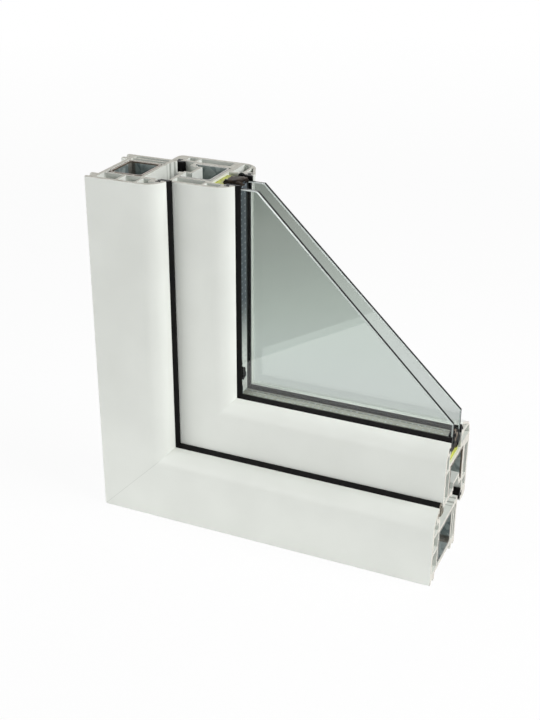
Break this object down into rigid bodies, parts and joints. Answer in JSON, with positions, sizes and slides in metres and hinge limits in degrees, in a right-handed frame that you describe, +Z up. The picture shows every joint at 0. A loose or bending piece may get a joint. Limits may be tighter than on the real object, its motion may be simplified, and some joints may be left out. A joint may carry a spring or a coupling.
{
  "type": "pvc casement window corner sample",
  "caption": "Cut corner sample of an inward-opening plastic casement window: mitred frame and sash with steel, gaskets and double glazing, showing the profile sections.",
  "frame": {"origin": "centre of the footprint at the level the sample stands on", "axes": "+X to the right along the lower members, +Y from the outside face to the room side, +Z up"},
  "size_m": [0.259, 0.076, 0.259],
  "materials": {
    "white_pvc": "satin white",
    "galvanised_steel": "dull zinc",
    "black_rubber": "matte",
    "float_glass": "clear",
    "aluminium_spacer": "mill",
    "edge_sealant": "matte",
    "butyl": "tacky",
    "glazing_block": "matte"
  },
  "bodies": {
    "root": {"frame_bottom_rail": "white_pvc", "frame_jamb_gasket": "black_rubber", "frame_jamb_steel": "galvanised_steel", "frame_left_jamb": "white_pvc", "frame_rail_gasket": "black_rubber", "frame_rail_steel": "galvanised_steel", "inner_pane": "float_glass", "outer_pane": "float_glass", "rail_bead_gasket": "black_rubber", "rail_edge_sealant": "edge_sealant", "rail_glazing_bead": "white_pvc", "rail_glazing_block": "glazing_block", "rail_glazing_gasket": "black_rubber", "rail_inner_butyl": "butyl", "rail_outer_butyl": "butyl", "rail_spacer": "aluminium_spacer", "rail_wing_gasket": "black_rubber", "sash_bottom_rail": "white_pvc", "sash_left_stile": "white_pvc", "sash_rail_steel": "galvanised_steel", "sash_stile_steel": "galvanised_steel", "stile_bead_gasket": "black_rubber", "stile_edge_sealant": "edge_sealant", "stile_glazing_bead": "white_pvc", "stile_glazing_block": "glazing_block", "stile_glazing_gasket": "black_rubber", "stile_inner_butyl": "butyl", "stile_outer_butyl": "butyl", "stile_spacer": "aluminium_spacer", "stile_wing_gasket": "black_rubber"}
  },
  "joints": []
}
